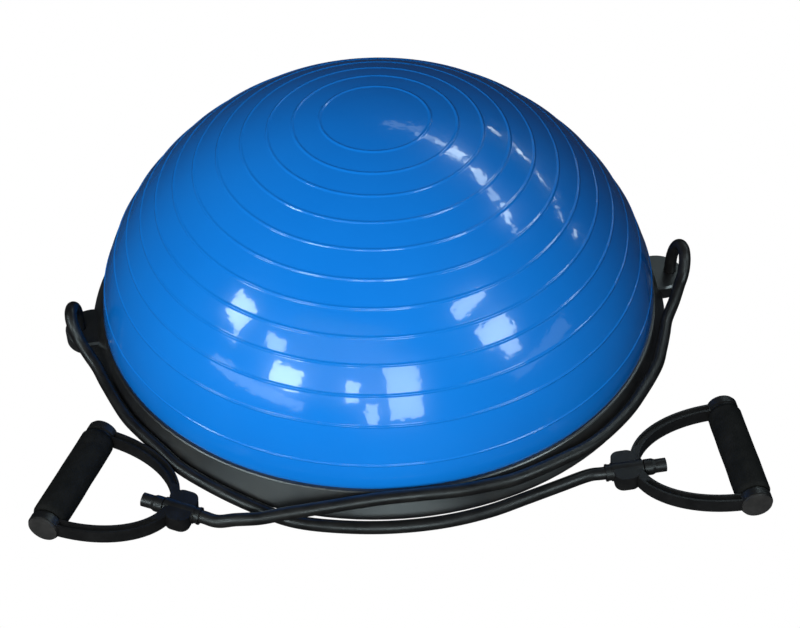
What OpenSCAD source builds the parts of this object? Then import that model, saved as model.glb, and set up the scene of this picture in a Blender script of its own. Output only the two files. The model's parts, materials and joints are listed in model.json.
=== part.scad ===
// Balance dome trainer: an inflated half dome on a round platform, with two
// resistance tubes that run from the platform's side lugs to D-shaped handles.
// Millimetres, +Z up. The origin is the centre of the platform's underside, on
// the floor. The handles lie on the floor in front of the platform, towards -Y.

/* [Dome] */
// Radius of the dome where it meets the platform
dome_r = 289.5; // [284:0.5:291]
// Height of the dome above its lower edge
dome_h = 218; // [150:1:260]
// Wall of the moulded skin
skin = 3; // [2:0.5:4]
// How far each moulded ring stands out from the skin
ring_rise = 1; // [0.5:0.1:2]

/* [Platform] */
// Radius of the platform at its foot
base_r = 304; // [303:0.5:306]
// Height of the platform's rim above the floor
base_h = 30; // [28:1:34]
// Thickness of the platform's walls and deck
wall = 4; // [3:0.5:6]
// Thickness of the rubber feet
foot_h = 3; // [2:0.5:3]
// Radius of each rounded side lug
lug_r = 28; // [26:1:31]
// Height of the lugs' top face above the floor
lug_top = 18; // [17:1:20]

/* [Tubes and handles] */
// Outer diameter of a resistance tube
tube_d = 12.5; // [10:0.5:12.5]
// Diameter of a foam grip
grip_d = 34; // [31:0.5:34]
// Length of a foam grip
grip_l = 108; // [100:1:108]
// Depth of a yoke's arms, across the plane of the handle
arm_depth = 14.5; // [10:0.5:15]

/* [Hidden] */
$fn = 96;
tiny = 0.01;

// Dome: a superellipse profile that stands on dome_z.
dome_z = base_h + 3;
round_out = 2.09;
round_up = 1.61;
ring_angles = [10, 15.3, 20.5, 26.2, 31.8, 37.8, 43.5, 49.3, 55, 61.5, 68.8, 80];
ring_half = 0.45;
neck_r = dome_r - 1.5;
flange_r = dome_r - 15;
valve_angle = 73.5;

// Platform
deck_top = base_h - 7;
deck_low = deck_top - wall;
cover_low = foot_h;
cover_top = foot_h + 3;
cover_r = base_r - wall - 1;
rim_r = base_r - 12.5;
foot_top = 6;
land_r = neck_r + 0.5;
clamp_r = dome_r - 22;
clamp_count = 16;
cover_screw_r = 200;
cover_count = 8;
foot_ring_r = 262;
foot_count = 8;
left_lug_turn = 187.5;
right_lug_turn = 5;
eye_r = base_r + 12;
eye_bore = tube_d / 2 + 0.6;
pocket_r = 10;
pocket_top = 12;

// Handle, in its own frame: x runs from the connector to the grip's axis,
// y along the grip, z out of the handle's plane.
reach = 111;
bow_x = 103;
bow_a = 93;
bow_b = 59.2;
arm_w = 9;
hub_in = grip_l / 2 + 3.4;
hub_out = 64;
hub_r = 15.4;
core_r = 11;
core_bore = 8.1;
spigot_r = 8;
bore_r = tube_d / 2 + 0.6;
end_start = 12;
left_at = [-190.2, -291.8, 10.2];
left_turn = 160.3;
right_at = [231.8, -254.8, 10.2];
right_turn = 5.5;
lie = 3.75;

// Tube routes: from the eye of a lug, over in a loop, round the front of the
// platform and into the connector of the opposite handle.
function eye(turn, z) = [eye_r * cos(turn), eye_r * sin(turn), z];
function along(at, turn, s) =
    at + s * [cos(turn) * cos(lie), sin(turn) * cos(lie), sin(lie)];
tube_start = 15;
tube_stop = end_start - 0.4;

right_route = concat(
    [eye(left_lug_turn, tube_start), eye(left_lug_turn, 30)],
    [
        [-313.3, -42, 40], [-313.5, -45, 47.5], [-313.8, -50.2, 54], [-314, -57, 58.8],
        [-314, -64.6, 60.3], [-313.2, -71.6, 58.6], [-311.4, -77.3, 53.4], [-309, -81, 47.3],
        [-306, -84.8, 41.4], [-301.5, -90.3, 35.6], [-294.8, -98.8, 29.8], [-286.2, -110.8, 24.8],
        [-275.4, -131.6, 20.5], [-253.5, -171.8, 18], [-235.5, -195.4, 17], [-214.3, -219.3, 16],
        [-194.1, -240.4, 13], [-157.9, -267, 11], [-121.8, -287.1, 7.4], [-88.2, -304.2, 6.7],
        [-48.1, -312.7, 6.7], [2, -315.7, 6.7], [52.1, -311.2, 6.7], [97.2, -299.7, 6.7],
        [137.3, -283.1, 7], [168.4, -270.1, 7.8]
    ],
    [for (s = [-36, -20, tube_stop]) along(right_at, right_turn, s)]
);
left_route = concat(
    [eye(right_lug_turn, tube_start), eye(right_lug_turn, 30)],
    [
        [315.2, 27.3, 40], [316.6, 26, 49.5], [318.8, 22.3, 57.6], [321, 15.8, 62.2],
        [322.6, 8, 62.2], [323, 1, 57.6], [322.4, -4.6, 50.2], [320.4, -10.5, 43],
        [315.8, -20, 36.6], [308.5, -38, 31.3], [297.9, -61.8, 27.5], [292.6, -81.9, 26],
        [286.6, -103, 25], [278.6, -127.1, 24.5], [259.5, -161.4, 23.5], [237.4, -194.2, 23],
        [202.3, -232.3, 25], [162.9, -258.5, 27.5], [124.4, -280, 30], [96.7, -288.5, 31],
        [69.3, -294.5, 31.5], [33.8, -298.5, 32], [1.2, -301, 31], [-27, -304, 29.5],
        [-55.5, -306.8, 26.8], [-91.8, -309.5, 22.6], [-116, -309.8, 17.3], [-139, -307, 12.9]
    ],
    [for (s = [-36, -20, tube_stop]) along(left_at, left_turn, s)]
);

black = [0.09, 0.09, 0.10];
charcoal = [0.16, 0.16, 0.17];
rubber = [0.05, 0.05, 0.05];

// ---------- the dome's profile ----------

function dome_point(t) =
    [dome_r * pow(sin(t), 2 / round_out), dome_z + dome_h * pow(cos(t), 2 / round_up)];
function dome_normal(t) =
    let (d = dome_point(t + 0.2) - dome_point(t - 0.2)) [-d.y, d.x] / norm(d);
function raised(t, h) = dome_point(t) + h * dome_normal(t);

// The outer line, from the crown down: each ring is a low triangular bead.
gap_steps = [0.25, 0.5, 0.75];
function ring_before(k) = k == 0 ? 2 : ring_angles[k - 1];
function within(k, share) = ring_before(k) + share * (ring_angles[k] - ring_before(k));
last_ring = len(ring_angles) - 1;
outer_line = [
    for (k = [0 : last_ring])
        each concat(
            [for (share = gap_steps) raised(within(k, share), 0)],
            [
                raised(ring_angles[k] - ring_half, 0),
                raised(ring_angles[k], ring_rise),
                raised(ring_angles[k] + ring_half, 0)
            ]
        )
];
inner_line = [
    for (k = [last_ring : -1 : 0])
        each [raised(ring_angles[k], -skin), raised(within(k, 0.5), -skin)]
];

module dome() {
    color("royalblue")
    difference() {
        rotate_extrude($fn = 128)
            polygon(concat(
                [[0, dome_z + dome_h]],
                outer_line,
                [for (t = [82, 85, 87.5, 89]) raised(t, 0)],
                [[dome_r, dome_z - 1]],
                [[neck_r, dome_z - 3], [neck_r, deck_top], [flange_r, deck_top]],
                [[flange_r, deck_top + skin], [neck_r - skin, deck_top + skin]],
                [[neck_r - skin, dome_z + 2], raised(85, -skin)],
                inner_line,
                [[0, dome_z + dome_h - skin]]
            ));
        at_valve() cylinder(r = 7, h = 40, center = true, $fn = 48);
    }
}

// ---------- air valve, low on the back of the dome ----------

module at_valve() {
    p = dome_point(valve_angle);
    n = dome_normal(valve_angle);
    translate([0, p[0], p[1]]) rotate([-atan2(n[0], n[1]), 0, 0]) children();
}

module valve_seat() {
    color(rubber)
    at_valve()
        difference() {
            union() {
                translate([0, 0, -0.3]) cylinder(r = 12, h = 1.8, $fn = 48);
                translate([0, 0, -14]) cylinder(r = 7, h = 14, $fn = 48);
            }
            translate([0, 0, -15]) cylinder(r = 4, h = 20, $fn = 48);
        }
}

module valve_plug() {
    color("white")
    at_valve() {
        translate([0, 0, 1.5]) cylinder(r = 9, h = 2.5, $fn = 48);
        translate([0, 0, -12]) cylinder(r = 3.93, h = 13.5 + tiny, $fn = 48);
    }
}

// ---------- platform ----------

module at_lug(turn) rotate([0, 0, turn]) translate([base_r - 1, 0, 0]) children();
module at_eye(turn) rotate([0, 0, turn]) translate([eye_r, 0, 0]) children();
module around(count, r, turn = 0)
    for (i = [0 : count - 1])
        rotate([0, 0, turn + i * 360 / count]) translate([r, 0, 0]) children();

// The rim slopes outwards from its narrow top land down to the foot.
module tray_section() {
    polygon([
        [0, deck_low], [0, deck_top], [land_r, deck_top], [land_r, base_h],
        [rim_r - 1.5, base_h], [rim_r, base_h - 0.4], [rim_r + 1, base_h - 1.4],
        [rim_r + 1.8, base_h - 3],
        [base_r, foot_top], [base_r, cover_low + 1], [base_r - 1, cover_low],
        [base_r - wall, cover_low], [base_r - wall, cover_top + 1],
        [rim_r + 1.4, deck_low]
    ]);
}

// The room under the deck, closed below by the cover.
module cavity() {
    rotate_extrude($fn = 128)
        polygon([
            [0, 1], [base_r - wall, 1], [base_r - wall, cover_top + 1],
            [rim_r + 1.4, deck_low], [0, deck_low]
        ]);
}

module base_tray() {
    color(black)
    difference() {
        union() {
            rotate_extrude($fn = 128) tray_section();
            for (r = [60, 130, 225])
                difference() {
                    translate([0, 0, cover_top]) cylinder(r = r + 1.5, h = deck_low - cover_top + 1);
                    translate([0, 0, cover_top - 1]) cylinder(r = r - 1.5, h = deck_low);
                }
            for (i = [0 : 15])
                rotate([0, 0, 11.25 + i * 22.5])
                    translate([61, -1.25, cover_top])
                        cube([rim_r + 3 - 61, 2.5, deck_low - cover_top + 1]);
            around(cover_count, cover_screw_r)
                translate([0, 0, cover_top]) cylinder(r = 6, h = deck_low - cover_top + 1, $fn = 32);
            around(clamp_count, clamp_r)
                translate([0, 0, deck_low - 4]) cylinder(r = 6, h = 5, $fn = 32);
            for (turn = [left_lug_turn, right_lug_turn])
                at_lug(turn) {
                    translate([0, 0, cover_low]) cylinder(r = lug_r, h = lug_top - cover_low - 2);
                    translate([0, 0, lug_top - 2]) cylinder(r1 = lug_r, r2 = lug_r - 2, h = 2);
                }
        }
        // the cavity inside the outer wall, where the lugs' discs reach in
        for (turn = [left_lug_turn, right_lug_turn])
            intersection() {
                cavity();
                at_lug(turn) cylinder(r = lug_r + 1, h = deck_low);
            }
        // groove for the seal
        difference() {
            translate([0, 0, deck_top - 2]) cylinder(r = flange_r + 8, h = 3);
            translate([0, 0, deck_top - 3]) cylinder(r = flange_r + 5, h = 5);
        }
        around(cover_count, cover_screw_r) cylinder(r = 1.9, h = deck_low, $fn = 24);
        around(clamp_count, clamp_r) cylinder(r = 2.2, h = base_h, $fn = 24);
        for (turn = [left_lug_turn, right_lug_turn])
            at_eye(turn) {
                cylinder(r = eye_bore, h = base_h);
                cylinder(r = pocket_r, h = pocket_top);
            }
    }
}

module bottom_cover() {
    color(charcoal)
    difference() {
        translate([0, 0, cover_low]) cylinder(r = cover_r, h = cover_top - cover_low);
        around(cover_count, cover_screw_r) {
            cylinder(r = 2.2, h = 20, $fn = 24);
            cylinder(r = 4.4, h = cover_low + 1.8, $fn = 24);
        }
    }
}

module cover_screws() {
    color("silver")
    around(cover_count, cover_screw_r) {
        translate([0, 0, cover_low]) cylinder(r = 4, h = 1.8, $fn = 24);
        translate([0, 0, cover_low + 1.7]) cylinder(r = 2, h = 12, $fn = 24);
    }
}

module feet() {
    color(rubber)
    around(foot_count, foot_ring_r, 22.5) {
        cylinder(r1 = 10, r2 = 11, h = foot_h, $fn = 48);
    }
}

module centre_pad() {
    color(rubber) cylinder(r = 60, h = foot_h);
}

module seal_ring() {
    color(rubber)
    rotate_extrude()
        translate([flange_r + 5, deck_top - 2]) square([3, 2]);
}

module clamp_ring() {
    color(charcoal)
    difference() {
        rotate_extrude()
            polygon([
                [clamp_r - 8, deck_top], [flange_r - 0.5, deck_top],
                [flange_r - 0.5, deck_top + skin], [neck_r - skin - 1, deck_top + skin],
                [neck_r - skin - 1, deck_top + skin + 4], [clamp_r - 8, deck_top + skin + 4]
            ]);
        around(clamp_count, clamp_r) cylinder(r = 1.9, h = deck_top + 6, $fn = 24);
    }
}

module clamp_screws() {
    color("silver")
    around(clamp_count, clamp_r) {
        translate([0, 0, deck_low - 6.5]) cylinder(r = 4, h = 2.5, $fn = 24);
        translate([0, 0, deck_low - 4.1]) cylinder(r = 2, h = 13, $fn = 24);
    }
}

// ---------- resistance tubes ----------

function unit(v) = v / norm(v);
function heading(p, i) = unit(p[min(i + 1, len(p) - 1)] - p[max(i - 1, 0)]);
function square_to(v, t) = unit(v - (v * t) * t);
function side_vectors(p) = [
    for (i = 0, n = square_to([0, 1, 0.2], heading(p, 0));
        i < len(p);
        i = i + 1, n = i < len(p) ? square_to(n, heading(p, i)) : n) n
];

// A closed tube of SIDES sides with one ring at each point of the route.
module swept_tube(route, d, sides = 12) {
    n = side_vectors(route);
    count = len(route);
    points = [
        for (i = [0 : count - 1])
            let (t = heading(route, i), b = cross(t, n[i]))
                for (k = [0 : sides - 1])
                    route[i] + d / 2 * (cos(k * 360 / sides) * n[i] + sin(k * 360 / sides) * b)
    ];
    walls = [
        for (i = [0 : count - 2]) for (k = [0 : sides - 1])
            let (a = i * sides + k, b = i * sides + (k + 1) % sides)
                each [[a, b + sides, b], [a, a + sides, b + sides]]
    ];
    first = [for (k = [0 : sides - 1]) k];
    last = [for (k = [sides - 1 : -1 : 0]) (count - 1) * sides + k];
    polyhedron(points = points, faces = concat(walls, [first, last]), convexity = 6);
}

module tube_to_left_handle() {
    color(rubber) swept_tube(left_route, tube_d);
}

module tube_to_right_handle() {
    color(rubber) swept_tube(right_route, tube_d);
}

// The end of a tube, swollen by the plug pushed into it. It starts at the
// tube's cut, inside a bore, and points along +Z; neck is how much lies in the bore.
module swollen_end(neck, bulge, tail) {
    color(rubber)
    rotate_extrude($fn = 48)
        polygon([
            [tube_d / 2 - 0.1, 0], [tube_d / 2 - 0.1, neck + 0.4], [8, neck + 1.4], [8, neck + bulge],
            [6.7, neck + bulge + 3], [6.7, neck + bulge + tail],
            [3.1, neck + bulge + tail], [3.1, neck + bulge + 3],
            [5.1, neck + bulge], [5.1, neck + 2], [3.1, neck], [3.1, 0]
        ]);
}

module end_plug(neck, bulge, tail) {
    color(charcoal)
    rotate_extrude($fn = 48)
        polygon([
            [0, neck], [3, neck + 0.2], [5, neck + 2.1], [5, neck + bulge - 0.1],
            [3, neck + bulge + 2.9], [3, neck + bulge + tail - 0.8],
            [0, neck + bulge + tail - 0.8]
        ]);
}

anchor_neck = tube_start - pocket_top;
anchor_bulge = 4;
anchor_tail = 4;
module at_anchor(turn) at_eye(turn) translate([0, 0, tube_start]) rotate([180, 0, 0]) children();
module left_anchor_end() at_anchor(left_lug_turn) swollen_end(anchor_neck, anchor_bulge, anchor_tail);
module right_anchor_end() at_anchor(right_lug_turn) swollen_end(anchor_neck, anchor_bulge, anchor_tail);
module left_anchor_plug() at_anchor(left_lug_turn) end_plug(anchor_neck, anchor_bulge, anchor_tail);
module right_anchor_plug() at_anchor(right_lug_turn) end_plug(anchor_neck, anchor_bulge, anchor_tail);

// ---------- handles ----------

module at_left() translate(left_at) rotate([0, 0, left_turn]) rotate([0, -lie, 0]) children();
module at_right() translate(right_at) rotate([0, 0, right_turn]) rotate([0, -lie, 0]) children();
module along_y(y) translate([reach, y, 0]) rotate([-90, 0, 0]) children();
module along_x(x) translate([x, 0, 0]) rotate([0, 90, 0]) children();

function bow(off, side) = [
    for (a = [6 : 4 : 90]) [bow_x - (bow_a + off) * cos(a), side * (bow_b + off) * sin(a)]
];
module arm_band(half, side)
    polygon(concat(
        bow(half, side),
        [[reach, side * (bow_b + half)], [reach, side * (bow_b - half)]],
        [for (i = [len(bow(0, side)) - 1 : -1 : 0]) bow(-half, side)[i]]
    ));

module yoke() {
    color(black)
    difference() {
        union() {
            for (side = [-1, 1]) {
                linear_extrude(arm_depth, center = true) arm_band(arm_w / 2, side);
                along_y(side > 0 ? hub_in : -hub_out) cylinder(r = hub_r, h = hub_out - hub_in);
                along_y(side > 0 ? hub_in - 2.5 : -hub_in) cylinder(r = hub_r - 1.5, h = 2.5);
                for (x = [-3.5, 3.5])
                    translate([x, side * 10, 0]) cylinder(r = 8.5, h = 16, center = true);
            }
            translate([-12, -10, -8]) cube([24, 20, 16]);
            translate([-3.5, -18.5, -8]) cube([7, 37, 16]);
            along_x(-13.5) cylinder(r = 8.9, h = 30.5);
            along_x(-18) cylinder(r = 8, h = 5);
            along_x(-19) cylinder(r = 8.5, h = 2);
        }
        for (side = [-1, 1])
            for (face = [-1, 1])
                translate([0, 0, face * arm_depth / 2])
                    linear_extrude(6, center = true)
                        difference() {
                            arm_band(arm_w / 2 - 2, side);
                            translate([reach - 14, -80]) square([30, 160]);
                            translate([-14, -23]) square([44, 46]);
                        }
        along_y(-80) cylinder(r = spigot_r, h = 160);
        along_x(-30) cylinder(r = bore_r, h = 60);
    }
}

module cap() {
    color(charcoal) {
        translate([0, 0, hub_out]) cylinder(r = hub_r - 1.1, h = 2);
        translate([0, 0, 38]) cylinder(r = spigot_r, h = hub_out - 38 + tiny);
    }
}
module front_cap(side) translate([reach, 0, 0]) rotate([side * 90, 0, 0]) cap();

module grip_core() {
    color(charcoal)
    along_y(-grip_l / 2 - 0.4)
        difference() {
            cylinder(r = core_r, h = grip_l + 0.8);
            translate([0, 0, -1]) cylinder(r = core_bore, h = grip_l + 4);
        }
}

module grip_foam() {
    color(rubber)
    along_y(-grip_l / 2)
        difference() {
            rotate_extrude()
                polygon([
                    [core_r, 0], [grip_d / 2 - 2, 0], [grip_d / 2, 2],
                    [grip_d / 2, grip_l - 2], [grip_d / 2 - 2, grip_l], [core_r, grip_l]
                ]);
        }
}

hand_neck = 17.2 - end_start;
hand_bulge = 9;
hand_tail = 13.5;

module left_yoke() at_left() yoke();
module left_front_cap() at_left() front_cap(-1);
module left_rear_cap() at_left() front_cap(1);
module left_grip_core() at_left() grip_core();
module left_grip_foam() at_left() grip_foam();
module left_tube_end() at_left() along_x(end_start) swollen_end(hand_neck, hand_bulge, hand_tail);
module left_tube_plug() at_left() along_x(end_start) end_plug(hand_neck, hand_bulge, hand_tail);

module right_yoke() at_right() yoke();
module right_front_cap() at_right() front_cap(1);
module right_rear_cap() at_right() front_cap(-1);
module right_grip_core() at_right() grip_core();
module right_grip_foam() at_right() grip_foam();
module right_tube_end() at_right() along_x(end_start) swollen_end(hand_neck, hand_bulge, hand_tail);
module right_tube_plug() at_right() along_x(end_start) end_plug(hand_neck, hand_bulge, hand_tail);

base_tray();
bottom_cover();
cover_screws();
feet();
centre_pad();
dome();
seal_ring();
clamp_ring();
clamp_screws();
valve_seat();
valve_plug();
tube_to_left_handle();
tube_to_right_handle();
left_anchor_end();
left_anchor_plug();
right_anchor_end();
right_anchor_plug();
left_yoke();
left_front_cap();
left_rear_cap();
left_grip_core();
left_grip_foam();
left_tube_end();
left_tube_plug();
right_yoke();
right_front_cap();
right_rear_cap();
right_grip_core();
right_grip_foam();
right_tube_end();
right_tube_plug();
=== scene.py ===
import json
import math

import bmesh
import bpy
from mathutils import Matrix, Vector, noise
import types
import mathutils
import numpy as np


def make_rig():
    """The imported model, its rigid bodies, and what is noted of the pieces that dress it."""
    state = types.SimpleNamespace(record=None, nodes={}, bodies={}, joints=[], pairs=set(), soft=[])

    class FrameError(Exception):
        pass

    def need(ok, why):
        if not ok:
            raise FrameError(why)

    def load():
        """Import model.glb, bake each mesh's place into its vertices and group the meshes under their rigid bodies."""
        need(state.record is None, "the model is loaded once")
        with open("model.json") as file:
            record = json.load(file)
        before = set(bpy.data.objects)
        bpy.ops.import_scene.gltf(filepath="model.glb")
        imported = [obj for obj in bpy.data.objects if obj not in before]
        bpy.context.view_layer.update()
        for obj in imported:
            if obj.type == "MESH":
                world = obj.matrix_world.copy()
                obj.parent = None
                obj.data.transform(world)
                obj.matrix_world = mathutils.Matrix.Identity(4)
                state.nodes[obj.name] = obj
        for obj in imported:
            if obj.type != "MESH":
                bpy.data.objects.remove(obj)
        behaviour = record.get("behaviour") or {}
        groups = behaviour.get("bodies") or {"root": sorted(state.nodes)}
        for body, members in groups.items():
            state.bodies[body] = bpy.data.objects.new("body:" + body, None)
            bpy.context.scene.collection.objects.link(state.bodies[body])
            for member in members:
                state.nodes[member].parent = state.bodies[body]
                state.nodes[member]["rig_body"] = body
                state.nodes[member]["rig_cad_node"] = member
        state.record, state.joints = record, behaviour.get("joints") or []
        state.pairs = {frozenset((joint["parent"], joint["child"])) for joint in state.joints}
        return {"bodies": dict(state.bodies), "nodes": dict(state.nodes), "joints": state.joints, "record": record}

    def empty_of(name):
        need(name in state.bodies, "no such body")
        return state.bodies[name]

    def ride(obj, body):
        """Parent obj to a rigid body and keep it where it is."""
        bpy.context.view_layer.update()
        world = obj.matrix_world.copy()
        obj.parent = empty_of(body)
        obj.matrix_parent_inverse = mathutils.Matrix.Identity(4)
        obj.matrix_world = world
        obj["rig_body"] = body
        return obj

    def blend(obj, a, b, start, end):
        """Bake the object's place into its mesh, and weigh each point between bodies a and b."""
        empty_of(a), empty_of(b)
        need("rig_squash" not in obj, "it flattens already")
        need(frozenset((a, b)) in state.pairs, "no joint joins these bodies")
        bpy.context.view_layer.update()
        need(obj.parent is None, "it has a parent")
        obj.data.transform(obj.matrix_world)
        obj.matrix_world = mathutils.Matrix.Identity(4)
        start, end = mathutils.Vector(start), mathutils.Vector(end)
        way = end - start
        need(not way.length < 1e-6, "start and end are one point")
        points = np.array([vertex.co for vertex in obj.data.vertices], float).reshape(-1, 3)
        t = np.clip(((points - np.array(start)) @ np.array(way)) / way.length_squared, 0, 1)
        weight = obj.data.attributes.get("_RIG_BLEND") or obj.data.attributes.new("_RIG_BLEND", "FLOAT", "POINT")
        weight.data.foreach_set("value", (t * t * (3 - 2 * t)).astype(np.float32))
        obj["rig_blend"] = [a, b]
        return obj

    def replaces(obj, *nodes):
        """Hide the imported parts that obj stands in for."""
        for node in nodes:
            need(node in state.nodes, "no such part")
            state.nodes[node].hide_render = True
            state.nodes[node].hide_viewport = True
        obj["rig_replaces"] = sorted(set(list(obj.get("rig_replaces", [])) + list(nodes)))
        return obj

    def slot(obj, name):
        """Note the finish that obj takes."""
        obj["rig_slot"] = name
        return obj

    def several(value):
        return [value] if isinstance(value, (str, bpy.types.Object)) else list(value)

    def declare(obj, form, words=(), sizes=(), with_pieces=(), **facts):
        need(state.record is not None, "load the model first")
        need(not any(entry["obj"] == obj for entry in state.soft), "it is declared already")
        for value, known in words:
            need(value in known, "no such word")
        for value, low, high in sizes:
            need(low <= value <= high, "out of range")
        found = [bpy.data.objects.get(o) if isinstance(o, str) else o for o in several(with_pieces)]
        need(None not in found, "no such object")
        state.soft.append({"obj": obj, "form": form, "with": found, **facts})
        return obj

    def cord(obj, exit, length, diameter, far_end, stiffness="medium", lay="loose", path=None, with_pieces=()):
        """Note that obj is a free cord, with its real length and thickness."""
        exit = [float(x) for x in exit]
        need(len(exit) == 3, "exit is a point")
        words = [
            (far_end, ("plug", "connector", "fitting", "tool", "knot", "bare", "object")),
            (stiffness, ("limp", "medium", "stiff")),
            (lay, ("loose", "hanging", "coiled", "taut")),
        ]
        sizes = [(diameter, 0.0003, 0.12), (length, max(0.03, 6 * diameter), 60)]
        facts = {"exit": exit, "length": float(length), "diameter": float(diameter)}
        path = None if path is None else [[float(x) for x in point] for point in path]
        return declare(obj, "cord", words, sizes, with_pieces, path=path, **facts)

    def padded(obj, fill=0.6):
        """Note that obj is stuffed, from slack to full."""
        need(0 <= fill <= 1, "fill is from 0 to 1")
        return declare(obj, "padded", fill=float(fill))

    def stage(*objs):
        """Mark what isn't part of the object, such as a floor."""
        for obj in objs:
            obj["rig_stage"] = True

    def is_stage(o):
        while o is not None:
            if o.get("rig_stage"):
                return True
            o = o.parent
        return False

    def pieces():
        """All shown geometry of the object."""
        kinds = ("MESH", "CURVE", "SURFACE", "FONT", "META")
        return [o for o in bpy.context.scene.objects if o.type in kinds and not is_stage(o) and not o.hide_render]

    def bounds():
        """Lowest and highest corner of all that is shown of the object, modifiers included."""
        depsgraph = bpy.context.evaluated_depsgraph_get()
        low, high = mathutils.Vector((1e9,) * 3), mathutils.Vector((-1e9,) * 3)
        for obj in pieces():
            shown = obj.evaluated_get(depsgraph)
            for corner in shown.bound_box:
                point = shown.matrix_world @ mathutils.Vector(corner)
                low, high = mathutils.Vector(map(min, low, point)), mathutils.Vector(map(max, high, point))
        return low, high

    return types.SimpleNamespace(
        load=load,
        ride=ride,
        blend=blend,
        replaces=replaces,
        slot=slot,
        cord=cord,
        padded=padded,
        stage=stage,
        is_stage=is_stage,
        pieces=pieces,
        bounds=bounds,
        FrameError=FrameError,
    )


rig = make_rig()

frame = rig.load()
nodes = frame["nodes"]
cad_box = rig.bounds()
scene = bpy.context.scene
MM = 0.001


def mm(*values):
    return Vector(values) * MM


# ---------- camera ----------
# A 76 mm lens, 1.8 m away and 41 degrees above the floor, aimed near the dome's foot.

CAMERA_ELEVATION = math.radians(41.2)
CAMERA_DISTANCE = 1.798
CAMERA_ROLL = math.radians(0.65)
CAMERA_TARGET = Vector((0, 0, 0.032))

camera_back = Vector((0, -math.cos(CAMERA_ELEVATION), math.sin(CAMERA_ELEVATION)))
camera_up = Vector((0, math.sin(CAMERA_ELEVATION), math.cos(CAMERA_ELEVATION)))
camera_aim = -camera_back + 0.0139 * Vector((1, 0, 0)) - 0.0180 * camera_up

camera_data = bpy.data.cameras.new("camera")
camera_data.sensor_width = 36
camera_data.lens = 76.3
camera = bpy.data.objects.new("camera", camera_data)
scene.collection.objects.link(camera)
scene.camera = camera
camera.location = CAMERA_TARGET + camera_back * CAMERA_DISTANCE - Vector((0.003, 0, 0))
aim = camera_aim.to_track_quat("-Z", "Y").to_matrix()
camera.rotation_euler = (aim @ Matrix.Rotation(-CAMERA_ROLL, 3, "Z")).to_euler()


# ---------- mesh helpers ----------

def link_mesh(name, verts, faces, smooth_angle=35):
    mesh = bpy.data.meshes.new(name)
    mesh.from_pydata([tuple(v) for v in verts], [], faces)
    mesh.update()
    obj = bpy.data.objects.new(name, mesh)
    scene.collection.objects.link(obj)
    smooth(obj, smooth_angle)
    return obj


def smooth(obj, angle):
    """Smooth shading, with sharp edges where faces meet at more than angle degrees."""
    mesh = obj.data
    mesh.shade_smooth()
    bm = bmesh.new()
    bm.from_mesh(mesh)
    for edge in bm.edges:
        edge.smooth = edge.calc_face_angle(0) < math.radians(angle)
    bm.to_mesh(mesh)
    bm.free()


def revolve(profile, segments, place=lambda v: v, capped=False):
    """Verts and faces of a profile of (radius, height) turned about Z.

    The profile is a closed loop, or with capped it starts and ends near the axis, and a
    small disc closes it there."""
    count = len(profile)
    steps = range(count - 1) if capped else range(count)
    verts = [
        place(Vector((r * math.cos(a), r * math.sin(a), z)))
        for a in (2 * math.pi * s / segments for s in range(segments))
        for r, z in profile
    ]
    faces = [
        (s * count + k, t * count + k, t * count + m, s * count + m)
        for s, t in ((s, (s + 1) % segments) for s in range(segments))
        for k, m in ((k, (k + 1) % count) for k in steps)
    ]
    if capped:
        faces.append(tuple(s * count for s in range(segments)))
        faces.append(tuple(s * count + count - 1 for s in reversed(range(segments))))
    return verts, faces


def spline(points, steps):
    """A smooth curve through the points, with steps short pieces between two of them."""
    ends = [2 * points[0] - points[1], *points, 2 * points[-1] - points[-2]]
    out = []
    for a, b, c, d in zip(ends, ends[1:], ends[2:], ends[3:]):
        for k in range(steps):
            t = k / steps
            out.append(0.5 * (
                2 * b + (c - a) * t + (2 * a - 5 * b + 4 * c - d) * t ** 2
                + (3 * b - a - 3 * c + d) * t ** 3
            ))
    out.append(points[-1].copy())
    return out


def tube(name, line, radius, sides=24):
    """A tube round the line, closed at both ends. Its frame turns as little as it can."""
    verts, faces = [], []
    across = Vector((0, 1, 0.2))
    for i, point in enumerate(line):
        along = (line[min(i + 1, len(line) - 1)] - line[max(i - 1, 0)]).normalized()
        across = (across - across.dot(along) * along).normalized()
        other = along.cross(across)
        for k in range(sides):
            a = 2 * math.pi * k / sides
            verts.append(point + radius * (math.cos(a) * across + math.sin(a) * other))
    for i in range(len(line) - 1):
        for k in range(sides):
            m = (k + 1) % sides
            faces.append((i * sides + k, i * sides + m, (i + 1) * sides + m, (i + 1) * sides + k))
    faces.append(tuple(reversed(range(sides))))
    faces.append(tuple(range((len(line) - 1) * sides, len(line) * sides)))
    return link_mesh(name, verts, faces, 50)


# ---------- handle frames and the tubes ----------
# The places that part.scad gives the handles and the tubes, in millimetres.

EYE_R = 316
LEFT_LUG, RIGHT_LUG = 187.5, 5
LIE = math.radians(3.75)
REACH = 111
TUBE_D = 12.5
TUBE_START, TUBE_STOP = 15, 11.6
HANDLES = {
    "left": (Vector((-190.2, -291.8, 10.2)), math.radians(160.3)),
    "right": (Vector((231.8, -254.8, 10.2)), math.radians(5.5)),
}


def eye(turn, z):
    a = math.radians(turn)
    return Vector((EYE_R * math.cos(a), EYE_R * math.sin(a), z))


def handle_matrix(side):
    """From a handle's own frame, in metres: X to the grip, Y along it, Z out of its plane."""
    at, turn = HANDLES[side]
    lie = Matrix.Rotation(-LIE, 4, "Y")
    return Matrix.Translation(at * MM) @ Matrix.Rotation(turn, 4, "Z") @ lie


def on_axis(side, s):
    return handle_matrix(side) @ mm(s, 0, 0) / MM


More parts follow.
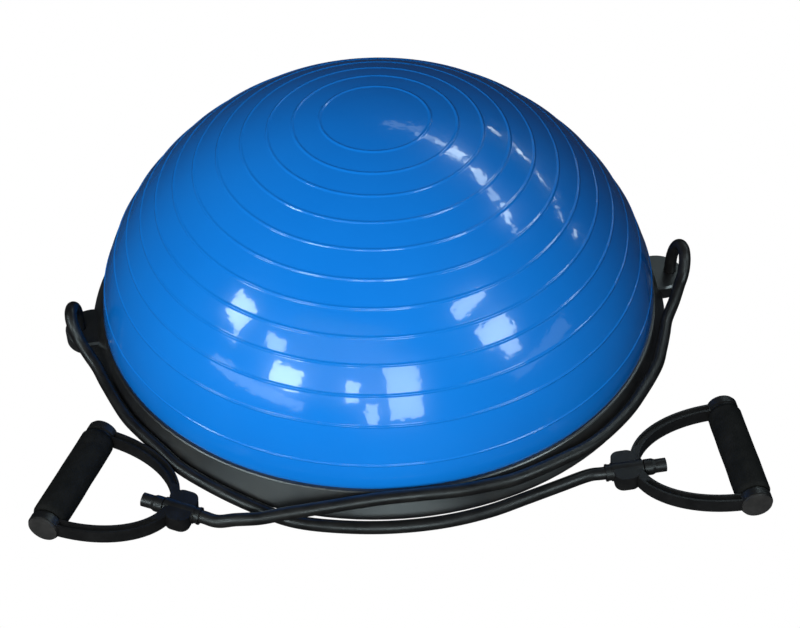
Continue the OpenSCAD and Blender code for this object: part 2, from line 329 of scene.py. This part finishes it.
right_route = [
    eye(LEFT_LUG, TUBE_START), eye(LEFT_LUG, 30),
    *map(Vector, [
        (-313.3, -42, 40), (-313.5, -45, 47.5), (-313.8, -50.2, 54), (-314, -57, 58.8),
        (-314, -64.6, 60.3), (-313.2, -71.6, 58.6), (-311.4, -77.3, 53.4), (-309, -81, 47.3),
        (-306, -84.8, 41.4), (-301.5, -90.3, 35.6), (-294.8, -98.8, 29.8), (-286.2, -110.8, 24.8),
        (-275.4, -131.6, 20.5), (-253.5, -171.8, 18), (-235.5, -195.4, 17), (-214.3, -219.3, 16),
        (-194.1, -240.4, 13), (-157.9, -267, 11), (-121.8, -287.1, 7.4), (-88.2, -304.2, 6.7),
        (-48.1, -312.7, 6.7), (2, -315.7, 6.7), (52.1, -311.2, 6.7), (97.2, -299.7, 6.7),
        (137.3, -283.1, 7), (168.4, -270.1, 7.8),
    ]),
    *(on_axis("right", s) for s in (-36, -20, TUBE_STOP)),
]
left_route = [
    eye(RIGHT_LUG, TUBE_START), eye(RIGHT_LUG, 30),
    *map(Vector, [
        (315.2, 27.3, 40), (316.6, 26, 49.5), (318.8, 22.3, 57.6), (321, 15.8, 62.2),
        (322.6, 8, 62.2), (323, 1, 57.6), (322.4, -4.6, 50.2), (320.4, -10.5, 43),
        (315.8, -20, 36.6), (308.5, -38, 31.3), (297.9, -61.8, 27.5), (292.6, -81.9, 26),
        (286.6, -103, 25), (278.6, -127.1, 24.5), (259.5, -161.4, 23.5), (237.4, -194.2, 23),
        (202.3, -232.3, 25), (162.9, -258.5, 27.5), (124.4, -280, 30), (96.7, -288.5, 31),
        (69.3, -294.5, 31.5), (33.8, -298.5, 32), (1.2, -301, 31), (-27, -304, 29.5),
        (-55.5, -306.8, 26.8), (-91.8, -309.5, 22.6), (-116, -309.8, 17.3), (-139, -307, 12.9),
    ]),
    *(on_axis("left", s) for s in (-36, -20, TUBE_STOP)),
]

ROUTES = {
    "left": (left_route, "right", Vector((-0.100, 0, 0)), Vector((-0.160, 0, 0))),
    "right": (right_route, "left", Vector((0.140, 0, 0)), Vector((0.200, 0, 0))),
}
tubes = {}
for side, (route, lug, bend_from, bend_to) in ROUTES.items():
    line = spline([p * MM for p in route], 10)
    piece = tube(f"resistance_tube_{side}", line, TUBE_D / 2 * MM)
    tubes[side] = piece
    length = sum((b - a).length for a, b in zip(line, line[1:]))
    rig.blend(piece, "platform", f"{side}_handle", bend_from, bend_to)
    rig.replaces(piece, f"tube_to_{side}_handle")
    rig.cord(
        piece, exit=line[0], length=round(length, 3), diameter=TUBE_D * MM,
        far_end="object", stiffness="stiff", lay="loose", path=line,
        with_pieces=[nodes[f"{lug}_anchor_end"], nodes[f"{lug}_anchor_plug"],
                     nodes[f"{side}_tube_end"], nodes[f"{side}_tube_plug"]],
    )


# ---------- materials ----------

class Shader:
    """A Principled material that is built up from a few noise layers."""

    def __init__(self, name, color, roughness, **inputs):
        self.material = bpy.data.materials.new(name)
        self.material.use_nodes = True
        self.tree = self.material.node_tree
        self.bsdf = self.tree.nodes["Principled BSDF"]
        self.place = self.tree.nodes.new("ShaderNodeTexCoord").outputs["Object"]
        self.set("Base Color", (*color, 1))
        self.set("Roughness", roughness)
        for key, value in inputs.items():
            self.set(key.replace("_", " ").title().replace("Ior", "IOR"), value)

    def set(self, socket, value):
        self.bsdf.inputs[socket].default_value = value

    def add(self, kind, **values):
        node = self.tree.nodes.new(f"ShaderNode{kind}")
        for key, value in values.items():
            setattr(node, key, value)
        return node

    def wire(self, a, b):
        self.tree.links.new(a, b)

    def noise(self, scale, detail=3, roughness=0.5, stretch=None):
        node = self.add("TexNoise")
        node.inputs["Scale"].default_value = scale
        node.inputs["Detail"].default_value = detail
        node.inputs["Roughness"].default_value = roughness
        source = self.place
        if stretch:
            mapping = self.add("Mapping")
            mapping.inputs["Scale"].default_value = stretch
            self.wire(source, mapping.inputs["Vector"])
            source = mapping.outputs["Vector"]
        self.wire(source, node.inputs["Vector"])
        return node.outputs["Fac"]

    def cells(self, scale):
        node = self.add("TexVoronoi", feature="SMOOTH_F1")
        node.inputs["Scale"].default_value = scale
        node.inputs["Smoothness"].default_value = 0.4
        self.wire(self.place, node.inputs["Vector"])
        return node.outputs["Distance"]

    def fit(self, value, low, high, from_low=0.3, from_high=0.7):
        node = self.add("MapRange")
        for key, number in (("From Min", from_low), ("From Max", from_high),
                            ("To Min", low), ("To Max", high)):
            node.inputs[key].default_value = number
        self.wire(value, node.inputs["Value"])
        return node.outputs["Result"]

    def vary_roughness(self, value, low, high):
        self.wire(self.fit(value, low, high), self.bsdf.inputs["Roughness"])

    def blend_colors(self, factor, a, b):
        node = self.add("Mix", data_type="RGBA")
        for socket, color in ((6, a), (7, b)):
            if hasattr(color, "is_output"):
                self.wire(color, node.inputs[socket])
            else:
                node.inputs[socket].default_value = (*color, 1)
        if hasattr(factor, "is_output"):
            self.wire(factor, node.inputs[0])
        else:
            node.inputs[0].default_value = factor
        return node.outputs[2]

    def color(self, value):
        self.wire(value, self.bsdf.inputs["Base Color"])

    def bump(self, value, distance, strength=1.0, socket="Normal"):
        """Adds one more bump layer on top of those already there."""
        node = self.add("Bump")
        node.inputs["Distance"].default_value = distance
        node.inputs["Strength"].default_value = strength
        self.wire(value, node.inputs["Height"])
        for link in list(self.bsdf.inputs[socket].links):
            self.wire(link.from_socket, node.inputs["Normal"])
        self.wire(node.outputs["Normal"], self.bsdf.inputs[socket])


def dome_vinyl():
    s = Shader("dome_vinyl", (0.003, 0.135, 0.53), 0.2, specular_ior_level=0.22)
    blotch = s.fit(s.noise(6, 4), 0, 1)
    s.color(s.blend_colors(blotch, (0.0025, 0.128, 0.51), (0.0035, 0.143, 0.55)))
    s.vary_roughness(s.noise(14, 5), 0.17, 0.27)
    s.set("Coat Weight", 0.75)
    s.set("Coat Roughness", 0.05)
    s.set("Coat IOR", 1.5)
    s.bump(s.noise(9, 2), 0.0012, 0.35)
    s.bump(s.noise(42, 2), 0.0003, 0.25)
    s.bump(s.noise(900, 2), 0.00004, 0.4)
    s.bump(s.noise(34, 3, 0.6), 0.0006, 0.6, "Coat Normal")
    return s.material


def gloss_black():
    s = Shader("platform_plastic", (0.006, 0.006, 0.007), 0.38, specular_ior_level=1.0)
    dust = s.fit(s.noise(30, 6, 0.7), 0, 1, 0.45, 0.8)
    s.color(s.blend_colors(dust, (0.005, 0.005, 0.006), (0.014, 0.0135, 0.013)))
    s.vary_roughness(s.noise(24, 5), 0.32, 0.46)
    s.set("Coat Weight", 0.5)
    s.set("Coat Roughness", 0.3)
    s.set("Coat IOR", 1.7)
    s.bump(s.noise(1300, 2), 0.00005, 0.5)
    s.bump(s.noise(15, 2), 0.0006, 0.25)
    return s.material


def moulded_black(name, color, roughness, grain=1700):
    s = Shader(name, color, roughness, specular_ior_level=0.5)
    light = tuple(2.0 * c for c in color)
    s.color(s.blend_colors(s.fit(s.noise(60, 5, 0.65), 0, 1, 0.4, 0.85), color, light))
    s.vary_roughness(s.noise(45, 4), roughness - 0.06, roughness + 0.09)
    s.bump(s.noise(grain, 3), 0.00009, 0.55)
    return s.material


def tube_rubber():
    s = Shader("tube_rubber", (0.005, 0.005, 0.0055), 0.38, specular_ior_level=0.5)
    bloom = s.fit(s.noise(55, 6, 0.7), 0, 1, 0.4, 0.8)
    s.color(s.blend_colors(bloom, (0.004, 0.004, 0.0045), (0.012, 0.012, 0.0125)))
    s.vary_roughness(s.noise(70, 4), 0.30, 0.46)
    s.bump(s.noise(160, 3), 0.00015, 0.35)
    s.bump(s.noise(1500, 2), 0.00005, 0.4)
    return s.material


def grip_foam():
    s = Shader("grip_foam", (0.004, 0.004, 0.004), 0.85, specular_ior_level=0.2)
    worn = s.fit(s.noise(70, 5, 0.65), 0, 1, 0.35, 0.75)
    s.color(s.blend_colors(worn, (0.0025, 0.0025, 0.0025), (0.007, 0.007, 0.007)))
    s.vary_roughness(s.noise(90, 4), 0.66, 0.86)
    s.bump(s.cells(950), 0.0005, 0.55)
    s.bump(s.noise(2600, 3), 0.00015, 0.5)
    s.bump(s.noise(70, 2), 0.0008, 0.25)
    return s.material


def foot_rubber():
    s = Shader("foot_rubber", (0.016, 0.016, 0.016), 0.7)
    scuffs = s.fit(s.noise(80, 6, 0.7), 0, 1)
    s.color(s.blend_colors(scuffs, (0.012, 0.012, 0.012), (0.05, 0.048, 0.045)))
    s.bump(s.noise(1100, 3), 0.0001, 0.6)
    return s.material


def brushed_steel():
    s = Shader("screw_steel", (0.52, 0.53, 0.55), 0.32, metallic=1.0)
    s.vary_roughness(s.noise(300, 4, 0.6, (1, 12, 1)), 0.24, 0.42)
    s.bump(s.noise(900, 3, 0.6, (1, 14, 1)), 0.00003, 0.5)
    return s.material


def plug_plastic():
    s = Shader("plug_plastic", (0.78, 0.78, 0.76), 0.34)
    s.vary_roughness(s.noise(60, 4), 0.28, 0.42)
    s.bump(s.noise(1200, 2), 0.00005, 0.4)
    return s.material


FINISHES = {
    "platform_plastic": gloss_black(),
    "cover_plastic": moulded_black("cover_plastic", (0.014, 0.014, 0.015), 0.5, 1100),
    "screw_steel": brushed_steel(),
    "foot_rubber": foot_rubber(),
    "dome_vinyl": dome_vinyl(),
    "valve_vinyl": dome_vinyl(),
    "plug_plastic": plug_plastic(),
    "tube_rubber": tube_rubber(),
    "handle_plastic": moulded_black("handle_plastic", (0.0045, 0.0045, 0.005), 0.38),
    "cap_plastic": moulded_black("cap_plastic", (0.016, 0.016, 0.017), 0.46),
    "grip_foam": grip_foam(),
}


def dress(obj, slot):
    obj.data.materials.clear()
    obj.data.materials.append(FINISHES[slot])
    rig.slot(obj, slot)


for entry in frame["record"]["subparts"]:
    obj = nodes[entry["node"]]
    for k in range(len(obj.material_slots)):
        obj.material_slots[k].material = FINISHES[entry["material_slot"]]

for side, piece in tubes.items():
    dress(piece, "tube_rubber")


# ---------- dome ----------
# The CAD's superellipse profile, with the rings as rounded beads.

DOME_R, DOME_H, DOME_Z = 289.5, 218, 33
ROUND_OUT, ROUND_UP = 2.09, 1.61
SKIN = 3
RINGS = [10, 15.3, 20.5, 26.2, 31.8, 37.8, 43.5, 49.3, 55, 61.5, 68.8, 80]
BEAD_RISE = 0.85
BEAD_HALF = 0.45


def dome_point(t):
    a = math.radians(t)
    return Vector((
        DOME_R * math.sin(a) ** (2 / ROUND_OUT),
        DOME_Z + DOME_H * max(math.cos(a), 0) ** (2 / ROUND_UP),
    ))


def dome_raised(t, rise):
    d = (dome_point(t + 0.2) - dome_point(t - 0.2)).normalized()
    return dome_point(t) + rise * Vector((-d.y, d.x))


def bead(t):
    """How far the skin stands out at t: a rounded bead at each ring."""
    near = min(1, min(abs(t - ring) for ring in RINGS) / BEAD_HALF)
    return BEAD_RISE * (0.5 + 0.5 * math.cos(near * math.pi))


def dome_stops():
    stops = {0.4, 2, 4, 6, 8, 83, 85.5, 87.5, 89}
    for before, ring in zip([6, *RINGS], RINGS):
        stops.update(before + (ring - before) * k / 6 for k in range(1, 6))
        stops.update(ring + BEAD_HALF * k / 4 for k in range(-5, 6))
    return sorted(stops)


neck = DOME_R - 1.5
outer = [dome_raised(t, bead(t)) for t in dome_stops()]
lower = [(DOME_R, DOME_Z - 1), (neck, DOME_Z - 3.5), (neck, 23), (DOME_R - 15, 23),
         (DOME_R - 15, 26), (neck - SKIN, 26), (neck - SKIN, DOME_Z + 2)]
inner = [dome_raised(t, -SKIN) for t in (80, 60, 40, 20, 4, 0.4)]
profile = [(p[0] * MM, p[1] * MM) for p in [*outer, *lower, *inner]]
dome = link_mesh("dome_skin", *revolve(profile, 288, capped=True), 60)
dress(dome, "dome_vinyl")
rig.ride(dome, "platform")
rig.replaces(dome, "dome")


# ---------- foam grips ----------

def foam(side):
    half, radius, bore = 54, 17, 11.2
    stations = [half * math.sin(math.radians(a)) for a in range(-88, 89, 4)]
    rings = [(bore, -half + 1), (bore + 1.5, -half), (radius - 1.6, -half)]
    rings += [(radius - 1.6 * max(0, abs(y) / half - 0.93) / 0.07, y) for y in stations]
    rings += [(radius - 1.6, half), (bore + 1.5, half), (bore, half - 1)]
    turn = handle_matrix(side) @ Matrix.Translation(mm(REACH, 0, 0)) @ Matrix.Rotation(
        math.radians(-90), 4, "X")

    def place(v):
        r = math.hypot(v.x, v.y)
        if r > 12 * MM:
            soft = noise.noise(v / MM * 0.045 + Vector((3, 1, 7 if side == "left" else 2)))
            v = v.copy()
            v.xy = v.xy * (1 - 0.018 + 0.018 * soft)
        return turn @ v

    verts, faces = revolve([(r * MM, y * MM) for r, y in rings], 96, place)
    piece = link_mesh(f"foam_sleeve_{side}", verts, faces, 60)
    dress(piece, "grip_foam")
    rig.ride(piece, f"{side}_grip")
    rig.replaces(piece, f"{side}_grip_foam")
    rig.padded(piece, fill=1)


for side in HANDLES:
    foam(side)


# ---------- stage and light ----------

def by_ray(tree, *choices):
    """Mixes shaders by the kind of ray that meets them: the last one is for all the rest."""
    path = tree.nodes.new("ShaderNodeLightPath")
    result = choices[-1]
    for ray, shader in reversed(choices[:-1]):
        mix = tree.nodes.new("ShaderNodeMixShader")
        tree.links.new(path.outputs[ray], mix.inputs["Fac"])
        tree.links.new(result, mix.inputs[1])
        tree.links.new(shader, mix.inputs[2])
        result = mix.outputs["Shader"]
    return result


def emission(tree, kind, color, strength):
    node = tree.nodes.new(kind)
    node.inputs["Color"].default_value = (*color, 1)
    node.inputs["Strength"].default_value = strength
    return node.outputs[0]


world = bpy.data.worlds.new("studio")
scene.world = world
world.use_nodes = True
tree = world.node_tree
tree.nodes.clear()
white = emission(tree, "ShaderNodeBackground", (1, 1, 1), 1.0)
mirrored = emission(tree, "ShaderNodeBackground", (0.7, 0.85, 1.0), 0.035)
ambient = emission(tree, "ShaderNodeBackground", (0.60, 0.80, 1.0), 0.20)
output = tree.nodes.new("ShaderNodeOutputWorld")
sky = by_ray(tree, ("Is Camera Ray", white), ("Is Glossy Ray", mirrored), ambient)
tree.links.new(sky, output.inputs["Surface"])

floor = link_mesh("floor", [(-6, -6, 0), (6, -6, 0), (6, 6, 0), (-6, 6, 0)], [(0, 1, 2, 3)])
floor.location.z = -0.0006
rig.stage(floor)
paper = bpy.data.materials.new("paper_floor")
paper.use_nodes = True
tree = paper.node_tree
tree.nodes.clear()
diffuse = tree.nodes.new("ShaderNodeBsdfDiffuse")
diffuse.inputs["Color"].default_value = (0.30, 0.30, 0.31, 1)
glow = emission(tree, "ShaderNodeEmission", (1, 1, 1), 1.0)
output = tree.nodes.new("ShaderNodeOutputMaterial")
dim = emission(tree, "ShaderNodeEmission", (0.7, 0.85, 1.0), 0.03)
seen = by_ray(tree, ("Is Camera Ray", glow), ("Is Glossy Ray", dim), diffuse.outputs["BSDF"])
tree.links.new(seen, output.inputs["Surface"])
floor.data.materials.append(paper)


PANEL_DISTANCE = 3.0
PANEL_AIM = Vector((0, 0, 0.12))


def panel(name, azimuth, elevation, size, watts, color, diffuse=True, glossy=True):
    """A rectangular light, aimed at the dome. Azimuth 0 is behind the camera, 90 to its right."""
    data = bpy.data.lights.new(name, "AREA")
    data.shape = "RECTANGLE"
    data.size, data.size_y = size
    data.energy = watts
    data.color = color
    obj = bpy.data.objects.new(name, data)
    scene.collection.objects.link(obj)
    a, e = math.radians(azimuth), math.radians(elevation)
    out = Vector((math.sin(a) * math.cos(e), -math.cos(a) * math.cos(e), math.sin(e)))
    obj.location = PANEL_AIM + out * PANEL_DISTANCE
    obj.rotation_euler = (-out).to_track_quat("-Z", "Y").to_euler()
    obj.visible_diffuse = diffuse
    obj.visible_glossy = glossy


# Soft light that shapes the object, and the panes that its gloss mirrors.
KEY_COLOR = (1.0, 0.98, 0.88)
PANE_COLOR = (0.78, 0.96, 1.0)
panel("key", -17, 32, (2.0, 1.6), 148, KEY_COLOR, glossy=False)
# Each is (azimuth, elevation, width, height, power), in degrees and watts per square metre.
PANES = [
    # windows, in the lower half of the dome
    (-69, 32, 10, 10, 46), (-64, 24, 3, 5, 30), (-47, 31, 7, 6, 34), (-38, 21, 12, 9, 54),
    (-11.5, 21.5, 5, 9, 38), (-3.5, 12.5, 4.5, 9, 30), (9, 21, 12, 22, 28),
    (51, 45, 15, 5, 32), (54, 31, 13, 9, 34), (55, 23, 7, 7, 28),
    # lamps behind, in a bowed streak from the crown down to the right
    (171, 43, 10, 2.2, 5), (161, 45.5, 6, 2.5, 11), (154, 46.3, 5, 2, 24), (146, 47, 5.5, 4.5, 38),
    (137, 47.6, 5.5, 1.6, 24), (130, 47.4, 5, 3.2, 32), (120, 46.8, 7, 2.4, 22),
    (108, 44.5, 8.5, 3.4, 40), (100, 41.3, 3, 1.5, 18),
    (148, 25, 4, 0.9, 26), (142.5, 23.6, 4, 0.8, 22), (138, 24, 3.5, 1.1, 34),
    (133.5, 23.2, 4, 0.8, 22), (128, 23.4, 5, 0.9, 26), (122, 22, 3, 1.4, 30),
    (115.5, 22, 5, 0.8, 18), (112, 16, 3, 1.8, 24),
    # low strips that the sloped rim mirrors
    (-48, 12, 40, 5, 9), (66, 13, 30, 6, 3),
]
for k, (azimuth, elevation, wide, high, power) in enumerate(PANES):
    size = (PANEL_DISTANCE * math.radians(wide), PANEL_DISTANCE * math.radians(high))
    watts = power * size[0] * size[1]
    panel(f"pane_{k}", azimuth, elevation, size, watts, PANE_COLOR, diffuse=False)

scene.view_settings.view_transform = "Standard"

with open("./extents.json", "w") as out:
    both = {"cad": [list(v) for v in cad_box], "visual": [list(v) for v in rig.bounds()]}
    json.dump(both, out)
